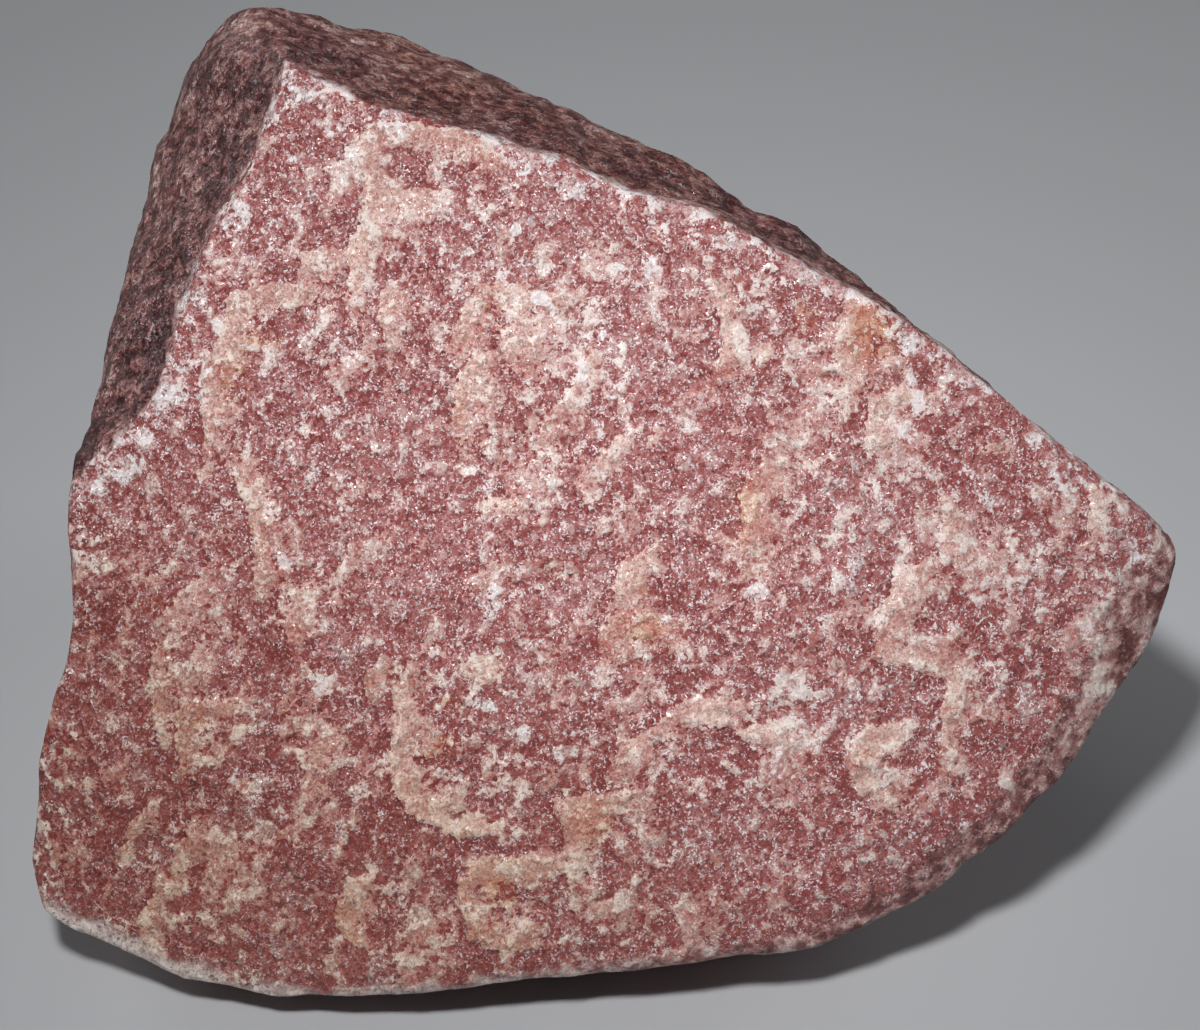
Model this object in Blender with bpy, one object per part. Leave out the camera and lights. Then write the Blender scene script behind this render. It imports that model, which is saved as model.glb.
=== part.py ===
"""A hand-sized piece of pink quartzite: one broken face, and weathered sides behind it.

Lengths are in millimetres until the mesh is made. Two frames are used. The face frame lies on the
broken face, with across to the right, up along its slope, and out of the stone. The standing frame
has +Z up and the ground at Z = 0. Both have X across.
"""

import math

import bmesh
import bpy
import numpy as np
from mathutils import Vector

MM = 0.001

FACE_SLOPE = math.radians(50)
FACE_HEIGHT = 48.6
STONE_MIDDLE = (-2.0, 12.0, 36.0)

# Corners round the broken face, in the face frame, clockwise from the peak at its upper left.
PEAK = (-31.7, 45.6, -2.0)
RIDGE_BEND = (-5.5, 36.4, -2.0)
RIDGE_MIDDLE = (10.0, 30.9, -2.0)
RIDGE_LOW = (31.2, 19.6, -2.5)
NOSE_TOP = (55.0, 0.1, -4.0)
NOSE = (58.2, -4.6, -7.0)
NOSE_FOOT = (57.0, -13.6, -7.0)
RIGHT_SIDE = (47.6, -25.8, -7.0)
RIGHT_FOOT = (36.2, -38.0, -8.0)
FOOT_BEND = (22.5, -44.0, -8.0)
FOOT_MIDDLE = (4.5, -47.0, -8.0)
FOOT_LOWEST = (-29.5, -50.8, -9.0)
LEFT_TOE = (-45.6, -47.2, -8.0)
LEFT_HEEL = (-57.3, -42.2, -7.0)
LEFT_CORNER = (-58.8, -36.0, -6.5)
LEFT_SIDE = (-54.2, 2.0, -3.0)

# Flats that start from an edge of the broken face, each with its flare in degrees: above 0 it widens
# towards the back and shows from the front, and below 0 it runs in under the stone.
FACE_FLATS = (
    (PEAK, RIDGE_BEND, 25),
    (RIDGE_BEND, RIDGE_MIDDLE, 21),
    (RIDGE_MIDDLE, RIDGE_LOW, 16),
    (RIDGE_LOW, NOSE_TOP, 3),
    (NOSE_TOP, NOSE, 25),
    (NOSE, NOSE_FOOT, -22),
    (NOSE_FOOT, RIGHT_SIDE, -24),
    (RIGHT_SIDE, RIGHT_FOOT, -22),
    (RIGHT_FOOT, FOOT_BEND, -18),
    (FOOT_BEND, FOOT_MIDDLE, -15),
    (FOOT_MIDDLE, FOOT_LOWEST, -13),
    (FOOT_LOWEST, LEFT_TOE, -14),
    (LEFT_TOE, LEFT_HEEL, -16),
    (LEFT_HEEL, LEFT_CORNER, -10),
    (LEFT_CORNER, LEFT_SIDE, -2),
    (LEFT_SIDE, PEAK, 28),
)

# The worn bevel that the broken face ends in at its lower right, given in the same way.
BEVELS = (
    ((54.4, -5.4, -3.5), (49.0, -15.9, -3.5), 52),
    ((49.0, -15.9, -3.5), (39.2, -29.6, -3.5), 54),
    ((39.2, -29.6, -3.5), (14.0, -44.0, -5.0), 52),
)

# Flats on the hidden sides, in the standing frame: a point on each, and the way it faces.
HIDDEN_FLATS = (
    ((-53.7, 12.0, 40.0), (-0.96, 0.19, 0.05)),
    ((-48.0, 49.0, 40.0), (-0.72, 0.66, -0.10)),
    ((-36.0, 47.0, 80.0), (-0.14, 0.86, 0.48)),
    ((-25.0, 59.0, 50.0), (-0.08, 0.98, 0.16)),
    ((12.0, 35.0, 61.0), (0.55, 0.80, 0.22)),
    ((30.0, 34.0, 30.0), (0.70, 0.66, -0.22)),
    ((-58.0, -18.0, 11.0), (-0.52, -0.10, -0.85)),
    ((-41.0, 15.0, 0.0), (-0.45, 0.05, -0.89)),
    ((-34.0, 28.0, 0.0), (-0.40, 0.42, -0.81)),
    ((-10.0, 33.0, 0.0), (0.10, 0.52, -0.85)),
    ((16.0, 5.0, 0.0), (0.50, 0.10, -0.86)),
    ((0.0, -11.0, 0.0), (0.05, -0.42, -0.91)),
)

# Hollows in the weathered sides, in the face frame: middle, size along each axis, and depth, which is
# below 0 for a bulge.
HOLLOWS = (
    ((-45.0, 14.0, -3.0), (10.0, 12.0, 7.0), 2.6),
    ((-36.0, 34.0, -5.0), (9.0, 10.0, 6.0), 1.4),
    ((-43.0, 47.0, -17.0), (7.0, 7.0, 9.0), -1.8),
    ((-23.0, 41.0, -6.0), (11.0, 8.0, 6.0), 1.4),
    ((4.0, 34.0, -6.0), (13.0, 8.0, 5.0), 0.9),
    ((-54.0, -11.0, -4.0), (8.0, 9.5, 12.0), 2.5),
    ((-56.0, -5.0, -25.0), (12.0, 15.0, 10.0), 1.6),
    ((-12.0, 34.0, -47.0), (15.0, 12.0, 14.0), 2.2),
    ((30.0, 10.0, -27.0), (13.0, 11.0, 11.0), 1.6),
    ((-8.0, -47.0, -8.0), (12.0, 6.0, 8.0), 1.0),
)

# The crown of the broken face, as its fall per square millimetre from the middle.
CROWN_ACROSS = 0.0012
CROWN_ABOVE = 0.0010
CROWN_BELOW = 0.0030

# Past this distance from the middle, towards the lower left, the broken face falls away.
FALL_TOWARDS = (-0.93, -0.37)
FALL_START = 44.0
FALL_SLOPE = 0.05

CRISP_EDGE = 0.8
WORN_EDGE = 2.8

# The skin is fresh up to the first depth behind the broken face, and fully weathered from the second.
WEATHERED_FROM = 1.0
WEATHERED_FULLY = 10.0

BALL_SUBDIVISIONS = 8
REACH = 110.0
REACH_HALVINGS = 22
WEAR_STEPS = 45
TRIANGLES = 9000
GROUND_WIDTH = 400.0
GROUND_DEPTH = 100.0

# Relief: the vertex group it works on, the size of its lumps and their height from low to high.
RELIEF = {
    "swells": ("weathered", 16.0, 2.6),
    "lumps": ("weathered", 6.0, 1.4),
    "hackles": ("broken", 9.0, 1.3),
}


def in_standing_frame(across, up, out):
    """A point of the face frame, in the standing frame."""
    back = up * math.cos(FACE_SLOPE) - out * math.sin(FACE_SLOPE)
    height = up * math.sin(FACE_SLOPE) + out * math.cos(FACE_SLOPE)
    return Vector((across, back, FACE_HEIGHT + height))


FACE_ORIGIN = in_standing_frame(0, 0, 0)
ACROSS_THE_FACE = in_standing_frame(1, 0, 0) - FACE_ORIGIN
UP_THE_FACE = in_standing_frame(0, 1, 0) - FACE_ORIGIN
OUT_OF_FACE = in_standing_frame(0, 0, 1) - FACE_ORIGIN


def in_face_frame(points):
    """Points of the standing frame, as their across, up and out in the face frame."""
    axes = np.array([ACROSS_THE_FACE, UP_THE_FACE, OUT_OF_FACE])
    return axes @ (points - np.array(FACE_ORIGIN)).T


def flat_from_edge(start, end, flare):
    """The flat through an edge of the broken face: a point on it, and the way it faces."""
    point = in_standing_frame(*start)
    along = (in_standing_frame(*end) - point).normalized()
    sideways = OUT_OF_FACE.cross(along).normalized()
    angle = math.radians(flare)
    return point, sideways * math.cos(angle) + OUT_OF_FACE * math.sin(angle)


def smooth_step(low, high, value):
    share = np.clip((value - low) / (high - low), 0.0, 1.0)
    return share * share * (3.0 - 2.0 * share)


def smooth_max(first, second, radius):
    """The larger of two distances, blended where they differ by less than the radius."""
    blend = np.maximum(radius - np.abs(first - second), 0.0) / radius
    return np.maximum(first, second) + blend * blend * radius / 4.0


def past_broken_face(across, up, out):
    """How far points stand past the broken face, which is crowned and falls away at its lower left."""
    crown = CROWN_ACROSS * across**2 + np.where(up > 0, CROWN_ABOVE, CROWN_BELOW) * up**2
    past_bend = np.maximum(FALL_TOWARDS[0] * across + FALL_TOWARDS[1] * up - FALL_START, 0.0)
    return out + crown + FALL_SLOPE * past_bend


def past_sides(points, flats):
    """How far points stand past the weathered sides, with their hollows."""
    past = np.max([(points - np.array(point)) @ np.array(facing) for point, facing in flats], axis=0)
    place = in_face_frame(points)
    for middle, size, depth in HOLLOWS:
        away = (place - np.array(middle)[:, None]) / np.array(size)[:, None]
        past += depth * np.exp(-(away**2).sum(axis=0))
    return past


def past_surface(points, flats):
    """How far points stand past the surface, whose edges are crisp at the upper left and worn at the
    lower right."""
    across, up, out = in_face_frame(points)
    edge_radius = CRISP_EDGE + (WORN_EDGE - CRISP_EDGE) * smooth_step(10.0, 60.0, across - up)
    return smooth_max(past_broken_face(across, up, out), past_sides(points, flats), edge_radius)


def surface_along(rays):
    """The point where each ray from the stone's middle meets its surface."""
    flats = [flat_from_edge(*edge) for edge in FACE_FLATS + BEVELS]
    flats += [(Vector(point), Vector(facing).normalized()) for point, facing in HIDDEN_FLATS]
    middle = np.array(STONE_MIDDLE)
    near = np.zeros(len(rays))
    far = np.full(len(rays), REACH)
    for _ in range(REACH_HALVINGS):
        halfway = (near + far) / 2
        past = past_surface(middle + rays * halfway[:, None], flats)
        near = np.where(past > 0, near, halfway)
        far = np.where(past > 0, halfway, far)
    return middle + rays * near[:, None]


def weathering(points):
    """From 0 on the broken face to 1 well behind it."""
    depth = -past_broken_face(*in_face_frame(points))
    return smooth_step(WEATHERED_FROM, WEATHERED_FULLY, depth)


def add_stone():
    """The stone as a fine ball whose points are moved to the surface, with its two vertex groups."""
    shape = bmesh.new()
    bmesh.ops.create_icosphere(shape, subdivisions=BALL_SUBDIVISIONS, radius=1.0)
    rays = np.array([vertex.co.normalized() for vertex in shape.verts])
    points = surface_along(rays)
    groups = shape.verts.layers.deform.verify()
    for vertex, point, weathered in zip(shape.verts, points * MM, weathering(points)):
        vertex.co = point
        vertex[groups][0] = weathered
        vertex[groups][1] = 1.0 - weathered
    mesh = bpy.data.meshes.new("quartzite")
    shape.to_mesh(mesh)
    shape.free()
    stone = bpy.data.objects.new("quartzite", mesh)
    bpy.context.collection.objects.link(stone)
    stone.vertex_groups.new(name="weathered")
    stone.vertex_groups.new(name="broken")
    return stone


def add_wear(stone):
    wear = stone.modifiers.new("wear", "SMOOTH")
    wear.vertex_group = "weathered"
    wear.iterations = WEAR_STEPS


def add_relief(stone):
    for name, (group, size, height) in RELIEF.items():
        texture = bpy.data.textures.new(name, "CLOUDS")
        texture.noise_scale = size * MM
        texture.noise_depth = 1
        relief = stone.modifiers.new(name, "DISPLACE")
        relief.texture = texture
        relief.texture_coords = "LOCAL"
        relief.strength = height * MM
        relief.vertex_group = group


def add_facets(stone):
    """Fewer, larger triangles, small where the stone bends."""
    facets = stone.modifiers.new("facets", "DECIMATE")
    facets.ratio = TRIANGLES / len(stone.data.polygons)


def cut_at_ground(stone):
    """The small flat that the stone rests on."""
    bpy.ops.mesh.primitive_cube_add(size=1.0, location=(0.0, 0.0, -GROUND_DEPTH / 2 * MM))
    ground = bpy.context.object
    ground.name = "ground"
    ground.scale = (GROUND_WIDTH * MM, GROUND_WIDTH * MM, GROUND_DEPTH * MM)
    ground.hide_render = True
    ground.display_type = "WIRE"
    cut = stone.modifiers.new("ground", "BOOLEAN")
    cut.operation = "DIFFERENCE"
    cut.object = ground


def centre(stone):
    """Puts the middle of the stone's box over the origin."""
    bpy.context.view_layer.update()
    corners = np.array(stone.evaluated_get(bpy.context.evaluated_depsgraph_get()).bound_box)
    middle = (corners.min(axis=0) + corners.max(axis=0)) / 2
    stone.location = (-middle[0], -middle[1], 0.0)


def quartzite_material():
    material = bpy.data.materials.new("quartzite")
    material.use_nodes = True
    shader = material.node_tree.nodes["Principled BSDF"]
    shader.inputs["Base Color"].default_value = (0.44, 0.26, 0.245, 1.0)
    shader.inputs["Roughness"].default_value = 0.6
    shader.inputs["Metallic"].default_value = 0.0
    return material


for old in list(bpy.data.objects):
    bpy.data.objects.remove(old, do_unlink=True)

quartzite = add_stone()
add_wear(quartzite)
add_relief(quartzite)
add_facets(quartzite)
cut_at_ground(quartzite)
centre(quartzite)
quartzite.data.materials.append(quartzite_material())
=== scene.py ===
# %% [markdown]
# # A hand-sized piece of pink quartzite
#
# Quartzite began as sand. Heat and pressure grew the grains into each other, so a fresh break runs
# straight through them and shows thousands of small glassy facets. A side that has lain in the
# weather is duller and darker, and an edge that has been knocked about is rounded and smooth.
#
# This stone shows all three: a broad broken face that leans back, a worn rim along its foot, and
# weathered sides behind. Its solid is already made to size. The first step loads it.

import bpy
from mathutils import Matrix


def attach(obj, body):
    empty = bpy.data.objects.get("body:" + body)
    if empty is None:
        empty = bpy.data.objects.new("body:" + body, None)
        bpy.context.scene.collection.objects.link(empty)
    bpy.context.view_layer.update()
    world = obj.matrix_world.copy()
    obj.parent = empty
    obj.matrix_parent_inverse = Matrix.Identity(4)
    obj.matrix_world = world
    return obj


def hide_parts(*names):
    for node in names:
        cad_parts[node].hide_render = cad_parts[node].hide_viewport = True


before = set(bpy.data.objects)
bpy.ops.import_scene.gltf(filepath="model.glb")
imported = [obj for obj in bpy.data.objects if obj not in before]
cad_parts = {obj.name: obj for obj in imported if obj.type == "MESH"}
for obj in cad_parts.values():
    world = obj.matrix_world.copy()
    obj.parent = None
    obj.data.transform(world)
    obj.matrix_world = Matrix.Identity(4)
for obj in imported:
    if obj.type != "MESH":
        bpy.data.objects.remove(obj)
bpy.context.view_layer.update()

# %% Modules and units
import itertools
import math

import bmesh
import bpy
import numpy as np
from mathutils import Vector

MM = 0.001

# %% [markdown]
# ## The broken face's own frame
#
# Nearly everything on this stone is measured from its broken face. It helps to have a frame that lies
# on the face: across to the right, up along its slope, and out of the stone. A point's place there
# is three dot products, and depth is how far a point lies behind the face, which is slightly crowned.

# %% The face frame, in millimetres
FACE_SLOPE = math.radians(50)
FACE_MIDDLE = np.array((-0.2, -19.3, 48.6))
ACROSS = np.array((1.0, 0.0, 0.0))
UP = np.array((0.0, math.cos(FACE_SLOPE), math.sin(FACE_SLOPE)))
OUT = np.array((0.0, -math.sin(FACE_SLOPE), math.cos(FACE_SLOPE)))

CROWN_ACROSS = 0.0012
CROWN_ABOVE = 0.0010
CROWN_BELOW = 0.0030
FALL_TOWARDS = (-0.93, -0.37)
FALL_START = 44.0
FALL_SLOPE = 0.05
print("the broken face leans back by", round(math.degrees(FACE_SLOPE)), "degrees")


def in_face_frame(points):
    """How far across, up and out points in millimetres lie from the middle of the broken face."""
    away = points - FACE_MIDDLE
    return away @ ACROSS, away @ UP, away @ OUT


def depth_behind_face(points):
    across, up, out = in_face_frame(points)
    crown = CROWN_ACROSS * across**2 + np.where(up > 0, CROWN_ABOVE, CROWN_BELOW) * up**2
    past_bend = np.maximum(FALL_TOWARDS[0] * across + FALL_TOWARDS[1] * up - FALL_START, 0.0)
    return -(out + crown + FALL_SLOPE * past_bend)


def smooth_step(low, high, value):
    share = np.clip((value - low) / (high - low), 0.0, 1.0)
    return share * share * (3.0 - 2.0 * share)


# %% [markdown]
# ## The camera
#
# A long lens, held squarely over the broken face, shows the stone with little perspective. The face
# leans back by 50 degrees, so the camera looks down by 40. At this distance a 120 mm lens takes in
# 120 mm of the face, which makes it easy to compare the render with a real stone.

# %% Camera
LENS_DISTANCE = 400.0

lens = bpy.data.cameras.new("camera")
lens.lens = 120.0
lens.sensor_width = 36.0
lens.sensor_fit = "HORIZONTAL"
lens.clip_start = 0.01
camera = bpy.data.objects.new("camera", lens)
camera.location = (FACE_MIDDLE + OUT * LENS_DISTANCE) * MM
camera.rotation_euler = (FACE_SLOPE, 0.0, 0.0)
bpy.context.scene.collection.objects.link(camera)
bpy.context.scene.camera = camera
print("camera at", [round(value, 3) for value in camera.location])


def as_seen(points):
    """Where the camera sees points: across and up, on the plane through the middle of the face."""
    across, up, out = in_face_frame(points)
    nearer = LENS_DISTANCE / (LENS_DISTANCE - out)
    return across * nearer, up * nearer


# %% [markdown]
# ## Light and floor
#
# A stone's relief only shows if the light comes mostly from one side. One soft box just above the
# lens does most of the work here, as in a studio. It has a grid in front, which narrows its beam, so
# the floor fades behind the stone. Two wide, weak boxes behind and a dim, even sky keep the far
# sides readable.
# The view transform is the plain one.

# %% Soft boxes
bpy.context.scene.view_settings.view_transform = "Standard"


def soft_box(name, azimuth, elevation, distance, width, power, spread=180.0, aim=(0.0, 0.0)):
    """A square light that looks at a place on the broken face, azimuth 0 being that face's side."""
    lamp = bpy.data.lights.new(name, "AREA")
    lamp.size = width * MM
    lamp.energy = power
    lamp.spread = math.radians(spread)
    turn = math.radians(azimuth)
    rise = math.radians(elevation)
    away = Vector((math.sin(turn) * math.cos(rise), -math.cos(turn) * math.cos(rise), math.sin(rise)))
    box = bpy.data.objects.new(name, lamp)
    box.location = Vector((FACE_MIDDLE + ACROSS * aim[0] + UP * aim[1]) * MM) + away * distance * MM
    box.rotation_euler = away.to_track_quat("Z", "Y").to_euler()
    bpy.context.scene.collection.objects.link(box)


soft_box("key", azimuth=-14, elevation=58, distance=480, width=42, power=0.163, spread=50, aim=(5.0, 4.0))
soft_box("fill_left", azimuth=-125, elevation=28, distance=700, width=350, power=0.77)
soft_box("fill_right", azimuth=115, elevation=30, distance=700, width=350, power=0.77)

SKY_STRENGTH = 0.05
sky = bpy.data.worlds.new("sky")
sky.use_nodes = True
sky.node_tree.nodes["Background"].inputs["Color"].default_value = (0.94, 0.97, 1.0, 1.0)
sky.node_tree.nodes["Background"].inputs["Strength"].default_value = SKY_STRENGTH
bpy.context.scene.world = sky
lights = [thing.name for thing in bpy.context.scene.objects if thing.type == "LIGHT"]
print("lights:", ", ".join(lights))

# %% [markdown]
# The floor is a large sheet of pale card. It lies a hair below the stone, so that the two never share
# a plane.

# %% Floor
FLOOR_WIDTH = 6.0
FLOOR_DROP = 0.05 * MM

bpy.ops.mesh.primitive_plane_add(size=FLOOR_WIDTH, location=(0.0, 0.0, -FLOOR_DROP))
floor = bpy.context.object
floor.name = "floor"
card = bpy.data.materials.new("pale card")
card.use_nodes = True
card_shader = card.node_tree.nodes["Principled BSDF"]
card_shader.inputs["Base Color"].default_value = (0.49, 0.50, 0.52, 1.0)
card_shader.inputs["Roughness"].default_value = 0.85
card_shader.inputs["Specular IOR Level"].default_value = 0.2
floor.data.materials.append(card)
print("floor made, metres wide:", FLOOR_WIDTH)

# %% [markdown]
# ## Writing materials as sums
#
# The stone's material has many nodes, and most of them only do sums. A few helpers make each node
# take one line. Every input can be a plain number, which is set on the node, or a socket of another
# node, which is linked to it.


# %% Small helpers for shader nodes
def add_node(tree, kind, inputs=None, **settings):
    """A new node, with its settings, and with values or links for its inputs."""
    node = tree.nodes.new(kind)
    for name, value in settings.items():
        setattr(node, name, value)
    for key, value in (inputs or {}).items():
        if isinstance(value, bpy.types.NodeSocket):
            tree.links.new(value, node.inputs[key])
        else:
            node.inputs[key].default_value = value
    return node


def calculate(tree, operation, first, second=0.0, third=0.0):
    """One step of arithmetic on sockets or numbers."""
    inputs = {0: first, 1: second, 2: third}
    return add_node(tree, "ShaderNodeMath", inputs, operation=operation).outputs[0]


def on_vectors(tree, operation, first, second=None, scale=None):
    """One step of arithmetic on vectors."""
    inputs = {0: first}
    if second is not None:
        inputs[1] = second
    if scale is not None:
        inputs["Scale"] = scale
    return add_node(tree, "ShaderNodeVectorMath", inputs, operation=operation).outputs[0]


# %% Helpers for colours
def mix_colours(tree, share, first, second, blend="MIX"):
    """The second colour over the first one, as strongly as the share says."""
    node = add_node(tree, "ShaderNodeMix", data_type="RGBA", clamp_factor=True, blend_type=blend)
    for socket, value in zip((node.inputs[0], node.inputs[6], node.inputs[7]), (share, first, second)):
        if isinstance(value, bpy.types.NodeSocket):
            tree.links.new(value, socket)
        else:
            socket.default_value = value
    return node.outputs[2]


def colour_ramp(tree, value, stops):
    """Colours along a value from 0 to 1, given as pairs of place and colour."""
    node = add_node(tree, "ShaderNodeValToRGB", {0: value})
    ramp = node.color_ramp
    while len(ramp.elements) < len(stops):
        ramp.elements.new(0.5)
    for element, (place, colour) in zip(ramp.elements, stops):
        element.position = place
        element.color = (*colour, 1.0)
    return node.outputs[0]


# %% [markdown]
# ## A noise that every step can share
#
# Relief and colour belong together on a broken stone: a flake that stands up is also paler. Blender's
# own noise textures could shape either one, but the same numbers are needed for both, so the noise
# is worked out here on arrays. It is ordinary gradient noise: each corner of a grid of cells gets a
# random direction, and a point blends the slopes of the eight corners round it.

# %% Gradient noise
TABLE_SIZE = 4096
CORNER_PRIMES = (73856093, 19349663, 83492791, 50331653)
NOISE_GAIN = 1.5

draw = np.random.default_rng(11)
directions = draw.normal(size=(TABLE_SIZE, 3))
directions /= np.linalg.norm(directions, axis=1)[:, None]


def noise(points, size, layer=0):
    """Smooth lumps from about -1 to 1, each about `size` across. Each layer has its own lumps."""
    scaled = points / size
    cell = np.floor(scaled).astype(np.int64)
    inside = scaled - cell
    fade = inside**3 * (inside * (inside * 6.0 - 15.0) + 10.0)
    total = np.zeros(len(points))
    for corner in itertools.product((0, 1), repeat=3):
        x, y, z = (cell + corner).T
        mixed = (x * CORNER_PRIMES[0]) ^ (y * CORNER_PRIMES[1]) ^ (z * CORNER_PRIMES[2])
        mixed ^= (layer + 1) * CORNER_PRIMES[3]
        slope = directions[(mixed ^ (mixed >> 15)) % TABLE_SIZE]
        weight = np.where(corner, fade, 1.0 - fade).prod(axis=1)
        total += weight * (slope * (inside - corner)).sum(axis=1)
    return total * NOISE_GAIN


def layered_noise(points, size, octaves, layer=0, fading=0.5):
    """Lumps on lumps: each octave is half as large and `fading` times as strong."""
    total = 0.0
    for octave in range(octaves):
        total = total + noise(points, size / 2**octave, layer + octave) * fading**octave
    return total


trial = noise(draw.uniform(-50.0, 50.0, (2000, 3)), 5.0)
print("noise runs from", round(trial.min(), 2), "to", round(trial.max(), 2))

# %% [markdown]
# ## A mesh fine enough for grains
#
# The solid has a few thousand triangles, which is enough to hold the stone's main shape but not the
# grains and flakes on it. One way is to voxel remesh everything, but the same fineness everywhere
# would spend most triangles on the back. Instead, long edges are halved again and again, down to a
# shorter length on the broken face than on the sides. A Smooth modifier then rounds off the facets
# of the solid, and a vertex group holds it back near the crisp ridge.

# %% Halve the long edges
FACE_EDGE = 0.50
SIDE_EDGE = 1.12
WELD = 0.00001
MAX_ROUNDS = 7


def wanted_edge(points):
    """The edge length wanted at points in millimetres."""
    return FACE_EDGE + (SIDE_EDGE - FACE_EDGE) * smooth_step(1.5, 7.0, depth_behind_face(points))


cad_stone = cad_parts["quartzite"]
shape = bmesh.new()
shape.from_mesh(cad_stone.data)
bmesh.ops.remove_doubles(shape, verts=shape.verts, dist=WELD)
for _ in range(MAX_ROUNDS):
    shape.verts.ensure_lookup_table()
    wanted = wanted_edge(np.array([vertex.co for vertex in shape.verts]) / MM) * MM
    long_edges = []
    for edge in shape.edges:
        first, second = edge.verts
        if edge.calc_length() > 0.67 * (wanted[first.index] + wanted[second.index]):
            long_edges.append(edge)
    if not long_edges:
        break
    bmesh.ops.subdivide_edges(shape, edges=long_edges, cuts=1)
    bmesh.ops.triangulate(shape, faces=[face for face in shape.faces if len(face.verts) > 3])
bmesh.ops.dissolve_degenerate(shape, edges=shape.edges, dist=WELD)
bmesh.ops.triangulate(shape, faces=[face for face in shape.faces if len(face.verts) > 3])
mesh = bpy.data.meshes.new("quartzite_stone")
shape.to_mesh(mesh)
mesh.validate()
shape.free()
stone = bpy.data.objects.new("quartzite_stone", mesh)
bpy.context.scene.collection.objects.link(stone)
print("triangles after halving:", len(mesh.polygons))

# %% [markdown]
# From here on the points are worked on all at once, as an array in millimetres, which is far quicker
# than one by one. The second kind of helper measures how far each point lies from a line that is
# drawn across the face, and on which side.


# %% Points as an array
def read_points():
    flat = np.empty(len(stone.data.vertices) * 3, np.float32)
    stone.data.vertices.foreach_get("co", flat)
    return flat.reshape(-1, 3).astype(float) / MM


def write_points(points):
    stone.data.vertices.foreach_set("co", (points * MM).astype(np.float32).ravel())
    stone.data.update()


# %% Distance from a line across the face
def inside_line(across, up, line):
    """How far points lie to the right of a line of (across, up) corners, walked from its start."""
    nearest = np.full(len(across), 1e9)
    side = np.zeros(len(across))
    for (x0, y0), (x1, y1) in zip(line, line[1:]):
        length = math.hypot(x1 - x0, y1 - y0)
        dx, dy = (x1 - x0) / length, (y1 - y0) / length
        along = np.clip((across - x0) * dx + (up - y0) * dy, 0.0, length)
        off_x, off_y = across - x0 - along * dx, up - y0 - along * dy
        away = np.hypot(off_x, off_y)
        closer = away < nearest - 1e-9
        nearest = np.where(closer, away, nearest)
        side = np.where(closer, np.sign(off_x * dy - off_y * dx), side)
    return nearest * side


# %% [markdown]
# ## Where the break ends
#
# Three lines bound the broken face: the left edge and the ridge, where it meets the weathered sides,
# and the lower edge, where it turns into the worn rim. They are walked so that the face lies to the
# right of each. Walking a line and asking which side a point lies on gives a distance that both the
# relief and the colours can use. All of them are measured as the camera sees them.

# %% Edges of the broken face
LEFT_EDGE = (
    (-56.0, -60.0), (-58.0, -30.0), (-54.0, -4.0), (-53.5, 1.5), (-52.6, 3.5), (-50.0, 6.1), (-46.5, 9.1),
    (-43.9, 13.6), (-42.6, 17.7), (-41.4, 22.7), (-39.9, 26.7), (-37.9, 30.3), (-35.9, 34.3),
    (-33.5, 38.9), (-31.7, 45.6),
)
RIDGE = (
    (-31.7, 45.6), (-27.2, 43.4), (-22.9, 40.9), (-17.1, 39.5), (-11.1, 38.5), (-5.5, 36.2), (0.0, 34.1),
    (5.0, 32.5), (10.0, 30.7), (15.1, 28.1), (20.1, 25.4), (25.2, 22.8), (30.8, 19.4), (36.3, 15.4),
    (41.4, 11.4), (46.4, 7.4), (51.4, 3.5), (55.5, 0.3), (58.0, -3.0),
)
LOWER_EDGE = (
    (56.0, -1.0), (54.6, -5.5), (52.8, -5.9), (51.5, -9.8), (50.5, -12.7), (49.0, -16.1), (46.9, -19.4),
    (44.4, -23.8), (39.4, -29.9), (30.3, -37.1), (23.2, -41.2), (14.1, -43.9), (0.0, -45.6), (-13.0, -47.2),
    (-27.5, -48.5), (-38.0, -46.8), (-46.5, -43.2), (-55.0, -39.6), (-60.0, -37.0),
)
ROUND_START = 1.0
ROUND_END = 3.5
RAGGEDNESS = 0.45
print("corners in the three lines:", len(LEFT_EDGE), len(RIDGE), len(LOWER_EDGE))


def zones(points):
    """Shares from 0 to 1 of fresh break and of worn rim, and the distance in from the ridge."""
    across, up = as_seen(points)
    depth = depth_behind_face(points)
    ragged = RAGGEDNESS * layered_noise(points, 2.2, 3, layer=40)
    from_ridge = np.minimum(inside_line(across, up, LEFT_EDGE), inside_line(across, up, RIDGE))
    from_rim = inside_line(across, up, LOWER_EDGE)
    # At its left end the face rounds off slowly, so the fresh break reaches deeper there.
    left_wall = smooth_step(20.0, 0.0, up) * smooth_step(-40.0, -52.0, across)
    front = 1.0 - smooth_step(ROUND_START + 5 * left_wall, ROUND_END + 7 * left_wall, depth)
    on_face = smooth_step(-0.8, 1.4, from_rim + 2 * ragged)
    fresh = front * smooth_step(-0.35, 0.25, from_ridge + ragged) * on_face
    shown = 1.0 - smooth_step(5.0, 11.0, depth)
    worn = shown * (1.0 - on_face) * smooth_step(-1.5, 1.0, from_ridge)
    return fresh, worn, from_ridge, from_rim


# %% [markdown]
# The Smooth modifier works through a vertex group here. A point's weight in it says how much the
# point may move: fully on the sides, hardly at all near the ridge, and not at all on the ground.

# %% Round off the facets
SMOOTH_STEPS = 24
CRISP_WIDTH = 2.0
RIDGE_HOLD = 0.85
GROUND_LEVEL = 0.3

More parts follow.
